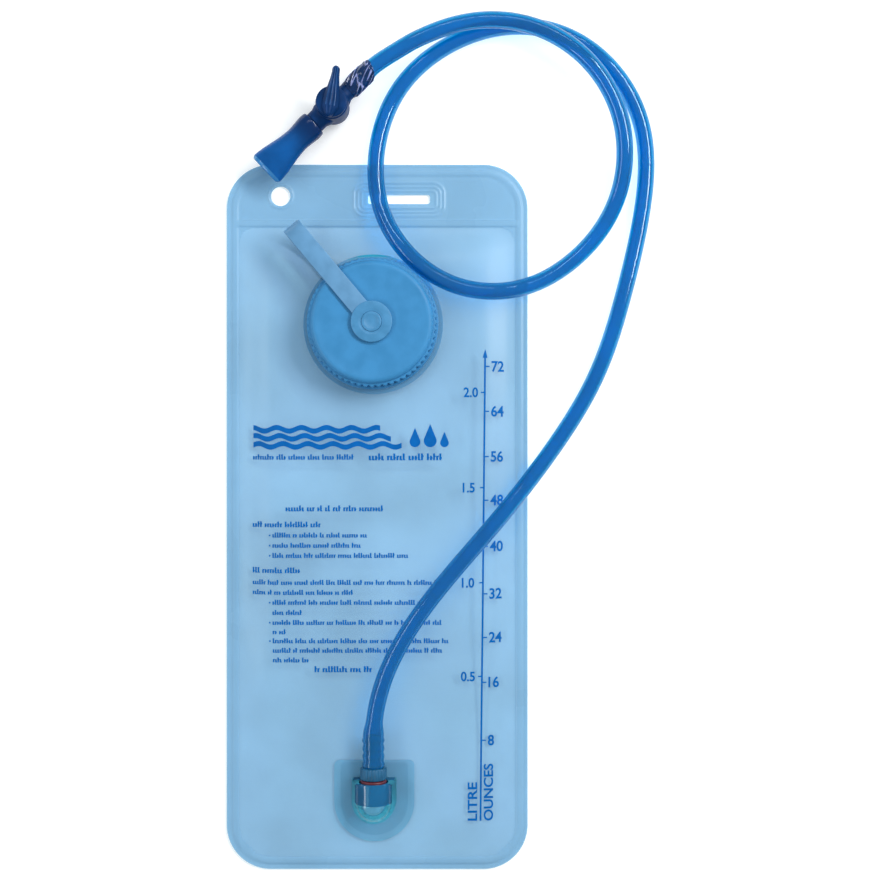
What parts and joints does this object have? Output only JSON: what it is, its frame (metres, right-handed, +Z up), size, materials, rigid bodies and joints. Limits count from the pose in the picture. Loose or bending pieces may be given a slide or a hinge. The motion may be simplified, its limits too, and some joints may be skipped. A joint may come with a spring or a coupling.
{
  "type": "hydration bladder",
  "caption": "Flat two litre drinking water pouch with a wide screw-cap filler, a tethered cap, a push-fit outlet port and a long drinking tube ending in a lever valve and bite mouthpiece.",
  "frame": {"origin": "middle of the pouch on the surface it lies on", "axes": "+Y along the pouch towards the hang slot, +X across it, +Z up out of the face with the cap"},
  "size_m": [0.241, 0.4804, 0.0266],
  "materials": {
    "film": "translucent frosted pale blue film with a fine grain",
    "fitting": "translucent teal blue moulding, smooth",
    "strap": "soft milky blue moulding, satin",
    "cap": "satin mid blue moulding with a fine grain and a knurled edge",
    "gasket": "matt whitish silicone",
    "red_rubber": "matt red rubber",
    "tube": "clear glossy blue soft tube",
    "clear_shrink": "clear shrink film, glossy and crumpled",
    "valve": "dark navy moulding, smooth",
    "black_rubber": "matt black rubber",
    "mouth_silicone": "translucent deep blue silicone, smooth"
  },
  "bodies": {
    "pouch": {"back_film": "film", "front_film": "film", "filler_neck": "fitting", "port_housing": "fitting"},
    "tether": {"tether_strap": "strap"},
    "cap": {"screw_cap": "cap", "cap_gasket": "gasket"},
    "hose": {"hose_connector": "fitting", "connector_o_ring": "red_rubber", "drinking_tube": "tube", "tube_sleeve": "clear_shrink", "valve_body": "valve"},
    "lever": {"valve_lever": "valve", "spindle_o_ring": "black_rubber"},
    "mouthpiece": {"mouthpiece": "mouth_silicone"}
  },
  "joints": [
    {"name": "cap_lift", "type": "slide", "parent": "pouch", "child": "tether", "axis": [0, 0, 1], "range_m": [0, 0.00601]},
    {"name": "cap_turn", "type": "hinge", "parent": "tether", "child": "cap", "pos_m": [-0.002, 0.1083, 0.0244], "axis": [0, 0, 1], "range_deg": [0, 540]},
    {"name": "hose_pull", "type": "slide", "parent": "pouch", "child": "hose", "axis": [0, 1, 0], "range_m": [0, 0.018]},
    {"name": "lever_turn", "type": "hinge", "parent": "hose", "child": "lever", "pos_m": [-0.0243, 0.2295, 0.0126], "axis": [0, 0, 1], "range_deg": [-37, 53]},
    {"name": "mouthpiece_turn", "type": "hinge", "parent": "hose", "child": "mouthpiece", "pos_m": [-0.0243, 0.2295, 0.0126], "axis": [0.7218, 0.6921, 0], "continuous": true}
  ],
  "couplings": [
    {"joint": "cap_lift", "follows": "cap_turn", "m_per_rad": 0.00063662}
  ]
}
